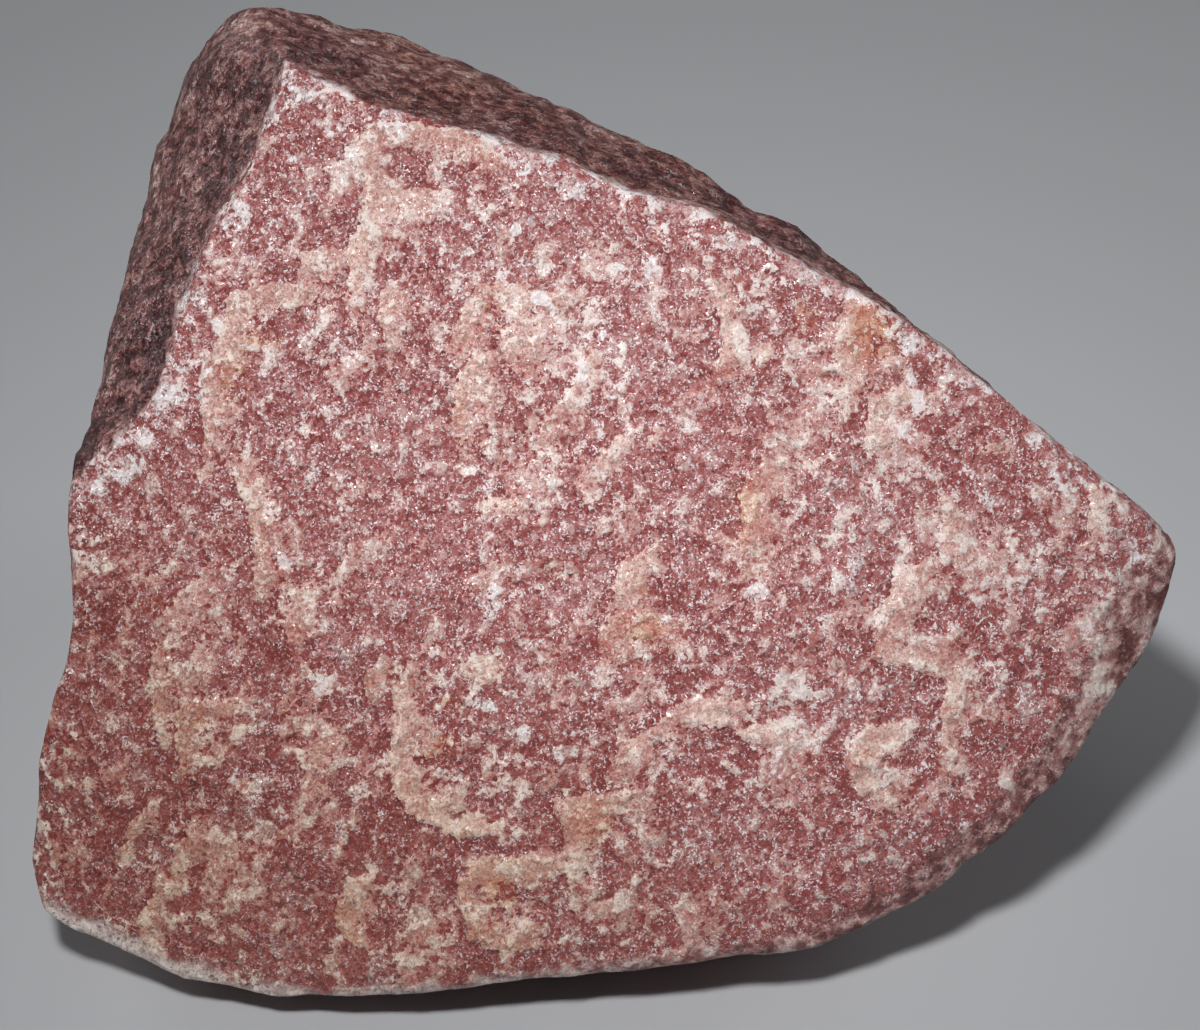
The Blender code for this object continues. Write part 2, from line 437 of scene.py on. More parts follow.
flat_points = read_points()
_, _, from_ridge, _ = zones(flat_points)
near_face = 1.0 - smooth_step(2.0, 5.0, depth_behind_face(flat_points))
near_ridge = np.exp(-((from_ridge / CRISP_WIDTH) ** 2)) * near_face
on_ground = flat_points[:, 2] < GROUND_LEVEL
softening = np.where(on_ground, 0.0, 1.0 - RIDGE_HOLD * near_ridge)

group = stone.vertex_groups.new(name="soften")
for level in range(1, 11):
    members = np.nonzero(np.round(softening * 10) == level)[0]
    group.add(members.tolist(), level / 10, "REPLACE")
smooth = stone.modifiers.new("round off", "SMOOTH")
smooth.vertex_group = "soften"
smooth.iterations = SMOOTH_STEPS
rounded = bpy.data.meshes.new_from_object(stone.evaluated_get(bpy.context.evaluated_depsgraph_get()))
stone.modifiers.clear()
stone.vertex_groups.clear()
stone.data = rounded
points = read_points()
print("the facets moved by up to", round(np.abs(points - flat_points).max(), 2), "mm")

# %% [markdown]
# ## Flakes
#
# A blow does not part quartzite in one plane. Thin flakes lift along a crisp edge and ease back into
# the face on their other side, and their cracked lips look paler. The flakes that a person would
# notice on this stone are drawn one by one: each is a line along its lip, walked so that the flake
# lies to its right, with its reach, how pale its lip is, and how orange it is inside.

# %% Flakes drawn one by one, in millimetres
FLAKES = (
    # The upper left, below the ridge.
    (((-25.0, 23.8), (-24.8, 27.1), (-23.8, 29.1), (-24.1, 31.2), (-23.5, 32.2), (-24.0, 34.5), (-24.1, 35.5),
      (-23.3, 39.1), (-21.7, 39.2), (-14.3, 38.8), (-11.9, 37.3)), 3.5, 0.52, 0.5),
    (((-23.8, 29.1), (-24.1, 31.2), (-23.5, 32.2), (-18.0, 32.5)), 5.0, 0.45, 0.2),
    (((-30.1, 24.5), (-30.0, 25.7), (-29.2, 26.3), (-27.8, 26.6)), 3.0, 0.40, 0.3),
    (((-39.8, 8.5), (-40.0, 11.5), (-39.6, 14.5), (-38.5, 16.5), (-37.2, 19.5), (-37.1, 22.2), (-36.0, 22.7),
      (-30.5, 22.9)), 4.0, 0.53, 0.5),
    (((-21.6, 17.0), (-22.1, 19.0), (-21.9, 21.5)), 3.0, 0.50, 0.2),
    # The upper middle.
    (((-14.4, 19.0), (-13.8, 20.5), (-12.8, 22.0), (-12.0, 22.9), (-10.0, 23.1)), 4.0, 0.40, 0.5),
    (((-8.8, 19.0), (-8.5, 20.7), (-8.0, 22.2), (-5.0, 22.5)), 3.5, 0.52, 0.0),
    (((-14.6, 10.0), (-14.6, 12.1), (-14.0, 14.3), (-12.3, 16.0), (-10.5, 17.0)), 4.5, 0.55, 0.5),
    (((-6.5, 7.5), (-5.3, 9.9), (-2.5, 13.0), (-1.7, 15.5)), 2.2, 0.55, 0.0),
    (((-1.0, 4.5), (0.3, 6.8), (1.5, 7.7)), 3.0, 0.50, 0.1),
    (((11.8, 15.3), (12.3, 17.5), (11.4, 20.9)), 2.8, 0.55, 0.4),
    # The upper right, round the orange spot.
    (((24.0, 15.0), (23.8, 17.0), (23.7, 18.6), (24.5, 21.5)), 4.0, 0.45, 0.7),
    (((22.0, 14.9), (26.6, 15.1), (29.5, 15.5)), 2.5, 0.45, 0.1),
    (((26.5, 9.0), (26.5, 10.0), (27.4, 12.0), (30.0, 12.3)), 3.0, 0.60, 0.4),
    # The right.
    (((34.5, -16.2), (31.4, -15.6), (28.4, -15.0), (27.1, -14.0), (27.6, -12.5), (27.4, -11.0), (28.4, -9.1),
      (29.6, -6.1), (30.5, -5.5)), 4.5, 0.55, 0.3),
    (((33.9, -23.5), (34.2, -21.1), (34.5, -18.9), (34.9, -15.9)), 3.0, 0.45, 0.6),
    (((26.6, -27.5), (24.8, -25.7), (24.4, -24.7), (25.6, -22.1), (27.0, -20.9),
      (28.5, -20.9)), 4.0, 0.50, 0.6),
    (((14.1, -3.0), (14.1, -0.5), (14.2, 2.0), (15.2, 3.7)), 4.0, 0.40, 0.6),
    (((48.9, -1.2), (49.0, 1.0)), 2.5, 0.50, 0.6),
    (((34.2, -3.0), (34.2, 0.3)), 2.5, 0.40, 0.3),
    # The middle and the lower middle.
    (((1.7, -8.5), (1.8, -6.5), (2.5, -4.3), (4.0, -3.8)), 3.5, 0.45, 0.5),
    (((0.0, -12.5), (0.1, -11.3), (1.2, -10.0), (4.0, -9.7), (6.5, -10.1)), 4.0, 0.40, 0.9),
    (((17.5, -23.0), (14.5, -22.3), (13.0, -21.3), (10.5, -20.7), (9.0, -20.9)), 2.2, 0.70, 0.3),
    (((3.0, -24.0), (4.0, -22.7), (7.2, -19.7), (9.0, -18.7), (14.0, -18.8)), 2.5, 0.50, 0.3),
    (((1.2, -25.0), (2.0, -23.3), (4.0, -22.0)), 2.5, 0.40, 0.3),
    (((-3.3, -34.5), (-3.5, -32.5), (-3.7, -30.7), (-4.5, -28.5), (-1.5, -28.0),
      (2.0, -27.5)), 4.0, 0.45, 0.5),
    (((-20.6, -20.2), (-20.6, -17.2), (-20.0, -16.1)), 3.5, 0.50, 0.4),
    (((-23.4, -17.4), (-23.3, -15.7), (-22.5, -14.9)), 2.5, 0.40, 0.3),
    # The foot.
    (((-16.8, -30.7), (-18.3, -30.2), (-19.9, -28.9), (-21.0, -26.4), (-20.9, -25.3), (-21.5, -23.8),
      (-20.1, -21.5)), 3.5, 0.60, 0.5),
    (((-12.7, -32.2), (-14.5, -32.2), (-15.8, -31.5), (-16.5, -30.4), (-16.4, -28.7),
      (-15.5, -28.0)), 3.0, 0.75, 0.3),
    (((-8.6, -43.4), (-11.2, -43.2), (-13.2, -42.4), (-14.0, -39.1), (-14.5, -36.3), (-12.7, -34.8),
      (-9.1, -34.3), (-6.9, -34.3)), 3.5, 0.50, 0.8),
    (((-25.4, -39.0), (-25.5, -37.3), (-25.0, -36.2), (-23.5, -36.1)), 2.5, 0.60, 0.6),
    (((-24.8, -42.5), (-26.2, -41.0), (-26.6, -39.3), (-26.0, -38.5)), 2.5, 0.40, 0.5),
    # The left.
    (((-34.6, -6.2), (-34.8, -4.5), (-34.6, -3.1), (-35.0, -0.4), (-35.5, 1.8),
      (-35.9, 2.9)), 4.0, 0.40, 0.7),
    (((-44.4, -21.5), (-44.7, -18.3), (-45.1, -16.0), (-44.9, -14.0)), 2.5, 0.40, 0.5),
    (((-42.3, -22.7), (-42.3, -20.5), (-41.7, -19.1), (-38.5, -18.5)), 4.0, 0.50, 0.6),
    (((-46.1, -43.0), (-46.3, -40.9), (-45.4, -39.3), (-45.0, -38.1)), 3.5, 0.50, 0.5),
    (((-47.8, -33.3), (-47.0, -31.7), (-45.9, -30.0)), 1.8, 0.45, 0.3),
    (((-42.8, -35.3), (-42.4, -33.3), (-41.6, -31.7)), 2.5, 0.35, 0.3),
    (((-31.5, -11.0), (-31.5, -9.0), (-30.4, -7.9)), 3.0, 0.45, 0.3),
    (((-29.5, -26.5), (-29.2, -24.5), (-28.2, -22.8)), 3.0, 0.45, 0.3),
)
print("flakes drawn by hand:", len(FLAKES))

# %% [markdown]
# A line drawn with a few corners looks drawn. So each point is asked about at a place that noise has
# bent a little, and the lines come out ragged. The flake is highest at its lip, and runs out over its
# reach. The lip is palest where it is broken, and just outside it a dark line is painted as the shade
# at the foot of the lip.

# %% Height, paleness, stain and painted lip shade of the drawn flakes
LIP_WIDTH = 1.3
LIP_SHADE_WIDTH = 1.1
STAIN_INSIDE = 0.38
PALE_INSIDE = 0.48
PALE_AT_LIP = 0.52


def ragged_places(points):
    """Places as the camera sees them, bent by noise so that what is drawn there has ragged edges."""
    across, up = as_seen(points)
    across = across + 0.50 * noise(points, 2.6, 44) + 0.25 * noise(points, 1.1, 45)
    up = up + 0.50 * noise(points, 2.6, 46) + 0.25 * noise(points, 1.1, 47)
    return across, up


def drawn_flakes(points):
    """How far each point is up on a drawn flake, how pale and orange it is, and the painted shade by lips."""
    across, up = ragged_places(points)
    spare = noise(points, 4.0, 48)
    broken = np.clip(0.62 + 1.2 * noise(points, 2.4, 49), 0.0, 1.0)
    lip_shade = np.zeros(len(points))
    plate = np.zeros(len(points))
    pale = np.zeros(len(points))
    orange = np.zeros(len(points))
    for line, reach, paleness, warmth in FLAKES:
        corners = np.array(line)
        low, high = corners.min(axis=0) - 2.2 * reach, corners.max(axis=0) + 2.2 * reach
        near = np.nonzero((across > low[0]) & (across < high[0]) & (up > low[1]) & (up < high[1]))[0]
        inside = inside_line(across[near], up[near], line)
        run_out = reach * (1.35 + 0.9 * spare[near])
        easing = np.where(inside > 0, np.clip(1.0 - inside / run_out, 0.0, 1.0), 0.0)
        round_it = smooth_step(-1.2, -0.4, inside)
        lip = np.exp(-np.maximum(inside, 0.0) / LIP_WIDTH)
        plate[near] = np.maximum(plate[near], easing)
        share = PALE_INSIDE + PALE_AT_LIP * lip * broken[near]
        pale[near] = np.maximum(pale[near], paleness * round_it * share)
        orange[near] = np.maximum(orange[near], STAIN_INSIDE * (0.3 + 0.7 * warmth) * round_it * easing)
        # Painted shade: a dark line just outside the lip, at the foot of the step.
        beside = np.where(inside < 0, np.exp(inside / LIP_SHADE_WIDTH), 0.0)
        lip_shade[near] = np.maximum(lip_shade[near], beside)
    return plate, pale, orange, lip_shade


# %% [markdown]
# Between the drawn flakes lie hundreds of small ones, which only need to look right together. A saw
# tooth has a flake's shape: it jumps up, then runs down to the next jump. Noise bends its edges, and
# a second noise decides where each tooth is tall and where it fades out.

# %% Small flakes as saw teeth
TEETH = (
    # length of a tooth, its turn in degrees, its height, the layer of its noise
    (12.0, 22.0, 0.30, 60),
    (6.0, 38.0, 0.22, 70),
    (3.0, 12.0, 0.14, 80),
)
DRAWN_HEIGHT = 0.50
TOOTH_LIFT = 0.9
TOOTH_PALENESS = 0.46


def saw_teeth(across, up, length, turn, layer):
    """From 1 at a tooth's crisp edge down to 0 at the next, times how strong the tooth is there."""
    place = np.stack([across, up, np.zeros(len(across))], axis=1)
    bend = 0.42 * noise(place, length * 1.1, layer) + 0.20 * noise(place, length * 0.35, layer + 1)
    bend += 0.07 * noise(place, length * 0.12, layer + 2)
    run = (across * math.cos(turn) - up * math.sin(turn)) / length + bend
    behind = run - np.floor(run)
    strength = np.clip(0.10 + 1.5 * noise(place, length * 1.2, layer + 3), 0.0, 1.0)
    return (1.0 - behind) * strength


across, up, _ = in_face_frame(points)
teeth = [saw_teeth(across, up, length, math.radians(turn), layer) for length, turn, _, layer in TEETH]
plate, pale, orange, lip_shade = drawn_flakes(points)
flake_height = sum(tooth * entry[2] for tooth, entry in zip(teeth, TEETH)) + DRAWN_HEIGHT * plate
for tooth in teeth:
    plate = np.maximum(plate, TOOTH_LIFT * tooth)
    pale = np.maximum(pale, TOOTH_PALENESS * np.clip(tooth, 0.0, 1.0) ** 1.6)
print("flakes stand up to", round(flake_height.max(), 2), "mm high")

# %% [markdown]
# ## Spots
#
# Where a blow landed the quartz is crushed to white powder, above all along the ridge. Elsewhere iron
# has stained it orange or brown, and in two places a bit has dropped out. Each spot is an ellipse,
# given by its middle and its two half sizes, and it gets ragged edges from the same noise.

# %% Spots drawn one by one, in millimetres
WHITE_SPOTS = (
    (-29.2, 42.4, 1.0, 0.8, 0.7), (-35.4, 33.0, 0.9, 0.6, 0.5), (-30.4, 36.1, 0.8, 0.6, 0.5),
    (-3.0, 32.7, 1.4, 1.1, 0.8), (-8.3, 28.1, 0.6, 1.2, 0.6), (-13.9, 25.5, 1.2, 1.0, 0.4),
    (-5.8, 21.4, 1.2, 0.8, 0.9), (1.6, 24.8, 1.0, 0.8, 0.7), (5.3, 24.6, 1.1, 0.9, 0.9),
    (-1.8, 17.8, 0.9, 0.9, 0.7), (-1.7, 14.5, 0.6, 1.2, 0.9), (9.2, 30.2, 1.4, 0.6, 0.8),
    (13.6, 27.1, 1.5, 0.7, 0.8), (21.0, 24.1, 2.2, 0.9, 0.9), (0.0, 18.1, 1.0, 0.9, 0.6),
    (10.0, 18.4, 1.1, 0.6, 0.4), (6.3, 8.5, 1.0, 0.6, 0.4), (9.0, 8.7, 1.1, 0.6, 0.5),
    (-45.5, 7.2, 1.0, 1.6, 0.8), (-47.6, 4.6, 1.6, 1.2, 0.7), (-50.3, 2.6, 1.6, 1.0, 0.7),
    (-32.6, -0.3, 1.0, 0.9, 0.6), (-31.8, -4.9, 1.0, 0.8, 0.7), (-27.8, -17.1, 1.1, 1.4, 0.8),
    (-33.9, -26.8, 1.3, 0.9, 0.7), (-33.6, -31.6, 1.3, 1.2, 0.8), (-15.2, -25.8, 1.5, 0.8, 0.7),
    (-10.9, -19.3, 0.8, 0.9, 0.8), (-7.6, -21.6, 0.7, 0.8, 0.8), (-3.5, -23.7, 1.3, 0.9, 0.8),
    (-10.8, -8.5, 1.4, 1.3, 0.7), (15.8, -7.8, 1.3, 1.0, 0.8), (6.9, -10.1, 0.8, 1.0, 0.6),
    (39.7, 1.6, 1.3, 1.3, 0.5), (46.5, 3.3, 2.2, 1.6, 0.5), (53.4, -4.7, 0.6, 1.3, 0.7),
    (46.4, -5.1, 1.2, 0.9, 0.4), (26.8, -5.6, 1.5, 0.9, 0.4), (50.7, -9.7, 0.6, 2.0, 0.6),
    (-52.3, -21.6, 1.0, 1.2, 0.5), (-13.5, -39.4, 0.7, 0.7, 0.5), (32.5, 17.7, 2.4, 2.0, 0.6),
    (12.5, 27.4, 1.2, 0.9, 0.7), (19.6, 24.7, 1.3, 0.9, 0.8), (21.6, 23.7, 1.4, 0.9, 0.9),
    (23.6, 22.6, 1.3, 0.8, 0.7), (35.6, 14.4, 1.8, 1.2, 0.6),
)
BEIGE_SPOTS = (
    (39.5, 6.9, 2.0, 0.6, 0.6), (-10.4, 1.0, 2.8, 0.9, 0.6), (-6.0, -0.7, 1.0, 0.5, 0.5),
    (16.6, 16.2, 1.5, 1.1, 0.6), (19.8, 17.8, 0.9, 0.6, 0.5), (-11.7, -15.4, 2.6, 1.6, 0.6),
    (13.3, -2.5, 1.9, 0.8, 0.5), (13.2, 8.5, 0.9, 1.0, 0.4), (21.3, -3.7, 0.9, 0.9, 0.4),
    (-38.2, -2.0, 1.6, 1.1, 0.4), (-39.6, 4.3, 1.0, 0.9, 0.5), (-45.3, -6.3, 1.6, 0.8, 0.5),
    (-36.7, -8.5, 1.2, 0.8, 0.4), (-26.3, -5.7, 1.2, 0.8, 0.4), (-3.9, -5.1, 2.4, 1.1, 0.4),
    (-29.8, -21.6, 1.0, 0.5, 0.6),
)
ORANGE_SPOTS = (
    (-33.8, 17.4, 1.8, 0.7, 0.8), (27.2, 18.4, 2.4, 3.0, 1.0), (20.8, 20.0, 1.5, 1.5, 0.7),
    (-10.8, 20.7, 0.9, 0.8, 0.6), (-36.5, 13.0, 1.6, 3.0, 0.6), (14.5, 1.0, 1.6, 2.6, 0.6),
    (4.5, -11.5, 2.4, 1.3, 0.8), (26.4, -24.1, 1.0, 0.6, 0.6), (-10.1, -37.5, 1.6, 1.5, 0.8),
    (-14.9, -18.8, 1.2, 0.9, 0.8), (-44.7, -9.0, 1.8, 1.0, 0.6), (-40.0, -20.6, 0.9, 0.9, 0.7),
    (4.2, -7.3, 1.0, 0.7, 0.6), (-16.0, -23.5, 1.5, 1.3, 0.7), (-1.0, -30.5, 2.5, 2.5, 0.5),
)
# Two of the dark spots sit on the two pits below, and there they are painted shade.
DARK_SPOTS = (
    (29.0, 13.7, 1.0, 1.0, 0.6), (-31.7, -13.8, 1.6, 1.1, 0.6), (-30.4, -22.7, 0.8, 0.5, 1.0),
    (-21.2, 21.5, 0.3, 0.3, 0.8), (14.8, 3.4, 0.4, 0.4, 0.7), (-49.0, -9.5, 2.2, 3.0, 0.5),
)
PITS = (
    (-30.4, -22.7, 0.9, 0.6, 0.9), (-21.2, 21.5, 0.4, 0.4, 0.5),
)


def drawn_spots(points, spots):
    """The strongest spot at each point, from 0 to about 1."""
    across, up = ragged_places(points)
    strongest = np.zeros(len(points))
    for x, y, half_across, half_up, strength in spots:
        away = np.hypot((across - x) / half_across, (up - y) / half_up)
        strongest = np.maximum(strongest, strength * (1.0 - smooth_step(0.55, 1.45, away)))
    return strongest


white = drawn_spots(points, WHITE_SPOTS)
beige = drawn_spots(points, BEIGE_SPOTS)
dark = drawn_spots(points, DARK_SPOTS)
plate = np.maximum(plate, beige)
pale = np.maximum(pale, 0.7 * beige)
orange = np.clip(np.maximum(orange, drawn_spots(points, ORANGE_SPOTS)) + 0.35 * beige, 0.0, 1.0)
print("spots drawn:", len(WHITE_SPOTS) + len(BEIGE_SPOTS) + len(ORANGE_SPOTS) + len(DARK_SPOTS))

# %% [markdown]
# One thin vein of quartz crosses the upper right. It is a line with a half width, and the line helper
# already knows how far each point lies from it.

# %% A pale vein
VEIN = ((30.2, 19.7), (30.7, 16.3), (30.9, 14.0), (31.7, 11.0), (31.2, 8.9), (30.4, 7.4))
VEIN_HALF_WIDTH = 0.45
VEIN_STRENGTH = 0.6

across, up = ragged_places(points)
from_vein = np.abs(inside_line(across, up, VEIN))
in_vein = 1.0 - smooth_step(VEIN_HALF_WIDTH, 2.2 * VEIN_HALF_WIDTH, from_vein)
white = np.maximum(white, VEIN_STRENGTH * in_vein)
print("points in the vein:", int((in_vein > 0.5).sum()))

# %% [markdown]
# ## Relief
#
# Between the flakes the break is hackly: lumps from a few millimetres down to single grains. The
# weathered sides are lumpier, with pits where grains have dropped out. The relief of the break goes
# straight out of the face, so its edges stay sharp, and that of the sides goes along the normals.
# The flat that the stone rests on keeps its place.

# %% Move the points
HACKLE_HEIGHT = 0.27
GRAIN_HEIGHT = 0.07
SIDE_LUMP_HEIGHT = 0.46
PIT_DEPTH = 0.42
GROUND_FADE = 2.0

normals = np.empty(len(points) * 3, np.float32)
stone.data.vertex_normals.foreach_get("vector", normals)
normals = normals.reshape(-1, 3).astype(float)

fresh, worn, from_ridge, from_rim = zones(points)
sides = np.clip(1.0 - fresh - worn, 0.0, 1.0)
hackles = layered_noise(points, 4.5, 4, layer=10, fading=0.62)
grains = draw.uniform(-1.0, 1.0, len(points))
lumps = layered_noise(points, 6.0, 4, layer=20, fading=0.58)
pits = smooth_step(0.25, 0.75, noise(points, 1.7, 30)) + 0.6 * smooth_step(0.3, 0.8, noise(points, 3.6, 31))

face_relief = flake_height + HACKLE_HEIGHT * hackles + GRAIN_HEIGHT * grains - drawn_spots(points, PITS)
side_relief = SIDE_LUMP_HEIGHT * lumps - PIT_DEPTH * pits + 0.5 * GRAIN_HEIGHT * grains
rim_relief = 0.5 * HACKLE_HEIGHT * hackles + 0.4 * GRAIN_HEIGHT * grains
lift = smooth_step(0.0, GROUND_FADE, points[:, 2])
moved = points + OUT * (lift * fresh * face_relief)[:, None]
moved += normals * (lift * (sides * side_relief + worn * rim_relief))[:, None]
moved[:, 2] = np.maximum(moved[:, 2], 0.0)
write_points(moved)
stone.data.shade_smooth()
break_relief = fresh * face_relief
print("relief of the break, in mm:", round(break_relief.min(), 2), "to", round(break_relief.max(), 2))
travel = np.linalg.norm(moved - points, axis=1)
print("points moved by up to", round(travel.max(), 2), "mm, by", round(travel.mean(), 2), "mm on average")

# %% [markdown]
# ## What the material has to know
#
# Nodes can't ask on which side of a line a point lies, so every answer is stored on the mesh as one
# number per point. First comes what the weather did to the sides. Quartzite keeps the beds of the
# sand that it was, as faint bands, and water leaves rust in patches. Just behind the ridge the sides
# are painted darkest, as shade in a groove a few millimetres wide.

# %% Beds, rust and painted groove shade of the weathered sides
BEDDING = np.array((0.25, 0.45, 0.86))
BAND_SIZE = 7.0
ALONG_BEDS = 0.12
BED_WAVES = 1.5
RUST_SHARE = 0.4
GROOVE_START = 0.8
GROOVE_FADE = 2.0
GROOVE_END = 5.5

across_beds = points @ BEDDING
place_in_beds = np.stack([across_beds, ALONG_BEDS * points[:, 0], ALONG_BEDS * points[:, 1]], axis=1)
waves = BED_WAVES * noise(points, 9.0, 61)[:, None]
beds = layered_noise(place_in_beds + waves, BAND_SIZE, 3, layer=62)
rust = smooth_step(0.05, 0.55, layered_noise(points, 13.0, 3, layer=65))
orange = fresh * orange + sides * RUST_SHARE * rust
# Painted shade: a dark strip in the groove just behind the ridge.
behind_ridge = np.maximum(-from_ridge, 0.0)
groove_shade = smooth_step(0.0, GROOVE_START, behind_ridge)
groove_shade = groove_shade * smooth_step(GROOVE_END, GROOVE_FADE, behind_ridge)
print("points with rust:", int((sides * rust > 0.5).sum()), "of", len(points))

# %% [markdown]
# Along the ridge the quartz is crushed to a white band, wide in some places and almost gone in
# others, and a thinner white lip follows the rim. The lower left of the break is darker and browner,
# and the darkening is partly painted shade where the light falls off. The foot below it is paler
# than the rest of the rim.

# %% Crushed ridge, darker lower left with painted shade, and rubbed foot
RIDGE_BAND = 0.8
RIDGE_BAND_EXTRA = 2.2
LIP_PLACE = 0.8
LIP_FADE = 1.2
LOWER_LEFT_START = 4.0
LOWER_LEFT_FULL = 54.0
LOWER_LEFT_TOWARDS = (-0.50, -0.85)
FOOT_HEIGHT = 45.0

patches = np.clip(0.42 + 1.3 * layered_noise(points, 5.0, 3, layer=50), 0.0, 1.0)
band = RIDGE_BAND + RIDGE_BAND_EXTRA * patches
crushed = np.exp(-np.maximum(from_ridge, 0.0) / band) * (0.35 + 0.65 * patches)
rim_lip = 0.45 * np.exp(-np.abs(from_rim - LIP_PLACE) / LIP_FADE) * patches
white = np.maximum(np.maximum(white, crushed), rim_lip)

across, up = as_seen(points)
towards_lower_left = LOWER_LEFT_TOWARDS[0] * across + LOWER_LEFT_TOWARDS[1] * up
lower_left_shade_and_brown = smooth_step(LOWER_LEFT_START, LOWER_LEFT_FULL, towards_lower_left + 7.0 * layered_noise(points, 11.0, 3, layer=54))
foot = smooth_step(9.0, 0.0, up + FOOT_HEIGHT - 0.1 * np.abs(across))
foot = foot * smooth_step(12.0, -14.0, across) * smooth_step(18.0, 8.0, points[:, 2])
print("points in the white band:", int((crushed > 0.5).sum()))

# %% Store it all on the mesh
notes = {
    "fresh": fresh,
    "worn": worn,
    "plate": plate,
    "pale": pale,
    "white": white,
    "blotch": layered_noise(points, 4.0, 3, layer=56) + 0.5 * noise(points, 14.0, 59),
    "groove_shade": groove_shade,
    "beds": beds,
    "foot": foot,
    "dark": dark,
    "lip_shade": lip_shade * (1.0 - smooth_step(0.0, 0.3, plate)),
    "orange": orange,
    "lower_left_shade_and_brown": lower_left_shade_and_brown,
    # Painted shade in the pits of the weathered sides.
    "pit_shade": np.clip(pits, 0.0, 1.0),
}
for name, values in notes.items():
    stored = stone.data.attributes.new(name, "FLOAT", "POINT")
    stored.data.foreach_set("value", values.astype(np.float32))
print("stored on the mesh:", ", ".join(notes))

# %% [markdown]
# ## Sand grains
#
# Up close the stone is a mosaic of grains 0.3 to 0.5 mm across. A Voronoi texture makes such a mosaic:
# each cell has its own random colour, which serves for anything that differs from grain to grain.
# The group gives out a random shade, another random number, and a small push for the normal, so that
# some grains catch the light and most do not. It serves twice: for whole grains, and for the finer
# facets that a break leaves on each grain.


# %% Group: sand grains
def make_grains_group():
    group = bpy.data.node_groups.new("sand grains", "ShaderNodeTree")
    group.interface.new_socket("Place", in_out="INPUT", socket_type="NodeSocketVector")
    group.interface.new_socket("Grain Size", in_out="INPUT", socket_type="NodeSocketFloat")
    for name in ("Shade", "Random"):
        group.interface.new_socket(name, in_out="OUTPUT", socket_type="NodeSocketFloat")
    group.interface.new_socket("Push", in_out="OUTPUT", socket_type="NodeSocketVector")
    entry = add_node(group, "NodeGroupInput")
    scale = calculate(group, "DIVIDE", 1000.0, entry.outputs["Grain Size"])
    cells = add_node(group, "ShaderNodeTexVoronoi", {"Vector": entry.outputs["Place"], "Scale": scale})
    parts = add_node(group, "ShaderNodeSeparateColor", {0: cells.outputs["Color"]})
    push = on_vectors(group, "SUBTRACT", cells.outputs["Color"], (0.5, 0.5, 0.5))
    leave = add_node(group, "NodeGroupOutput")
    group.links.new(parts.outputs[0], leave.inputs["Shade"])
    group.links.new(parts.outputs[1], leave.inputs["Random"])
    group.links.new(push, leave.inputs["Push"])
    return group


grains_group = make_grains_group()
print("group made:", grains_group.name)

# %% [markdown]
# ## The stone's colours
#
# Nearly all of the colour comes from thin films of iron oxide round the grains. Where the film is
# thick the stone is maroon, where it is thin it is pink, and where the quartz is cracked it is almost
# white. So one value from dark to pale is enough for the break, and a ramp turns it into colour.
# The weathered sides use a darker, browner ramp, and the rim lies between the two.

# %% Colours, from dark to pale
FRESH_RAMP = (
    (0.00, (0.255, 0.062, 0.057)),
    (0.20, (0.358, 0.108, 0.102)),
    (0.40, (0.435, 0.184, 0.175)),
    (0.60, (0.510, 0.318, 0.302)),
    (0.80, (0.610, 0.490, 0.468)),
    (1.00, (0.830, 0.775, 0.760)),
)
WEATHERED_RAMP = (
    (0.00, (0.050, 0.014, 0.015)),
    (0.30, (0.155, 0.053, 0.050)),
    (0.55, (0.300, 0.130, 0.118)),
    (0.80, (0.500, 0.310, 0.280)),
    (1.00, (0.760, 0.610, 0.570)),
)
WORN_RAMP = (
    (0.00, (0.120, 0.036, 0.036)),
    (0.35, (0.290, 0.122, 0.112)),
    (0.65, (0.500, 0.300, 0.275)),
    (1.00, (0.780, 0.680, 0.620)),
)
STAIN_RAMP = (
    (0.00, (1.00, 1.00, 1.00)),
    (0.35, (1.00, 0.94, 0.84)),
    (1.00, (1.00, 0.78, 0.56)),
)
SALMON = (1.07, 0.98, 0.91, 1.0)
CRIMSON_TINT = (1.04, 0.91, 0.92, 1.0)
GREY_TINT = (1.02, 1.01, 1.04, 1.0)
LOWER_LEFT_SHADE_TINT = (0.79, 0.71, 0.60, 1.0)
RUST_TINT = (1.00, 0.84, 0.60, 1.0)
GLINT_COLOUR = (0.90, 0.86, 0.88, 1.0)
SHADOW_COLOUR = (0.10, 0.035, 0.040, 1.0)
print("stops in the ramps:", len(FRESH_RAMP), len(WEATHERED_RAMP), len(WORN_RAMP), len(STAIN_RAMP))

# %% Start the material
material = bpy.data.materials.new("quartzite")
material.use_nodes = True
tree = material.node_tree
shader = tree.nodes["Principled BSDF"]
place = add_node(tree, "ShaderNodeTexCoord").outputs["Object"]
print("material made:", material.name)

# %% [markdown]
# The stone's masks are built from two kinds of value: what was stored on the mesh, and noise made by
# nodes. Both are added up with weights, and a soft step then turns the sum into a mask.


# %% Helpers for this material's masks
def attribute(name):
    return add_node(tree, "ShaderNodeAttribute", attribute_name=name).outputs["Fac"]


def mottle(size, detail, contrast):
    """Noise from about -0.5 to 0.5, in lumps of a size given in millimetres."""
    inputs = {"Vector": place, "Scale": 1000.0 / size, "Detail": detail}
    lumps = add_node(tree, "ShaderNodeTexNoise", inputs).outputs["Fac"]
    half = 0.25 / contrast
    inputs = {"Value": lumps, "From Min": 0.5 - half, "From Max": 0.5 + half, "To Min": -0.5, "To Max": 0.5}
    return add_node(tree, "ShaderNodeMapRange", inputs, interpolation_type="SMOOTHSTEP").outputs[0]


def weighted_sum(start, *terms):
    """A number plus sockets times their weights."""
    total = start
    for socket, weight in terms:
        total = calculate(tree, "MULTIPLY_ADD", socket, weight, total)
    return total


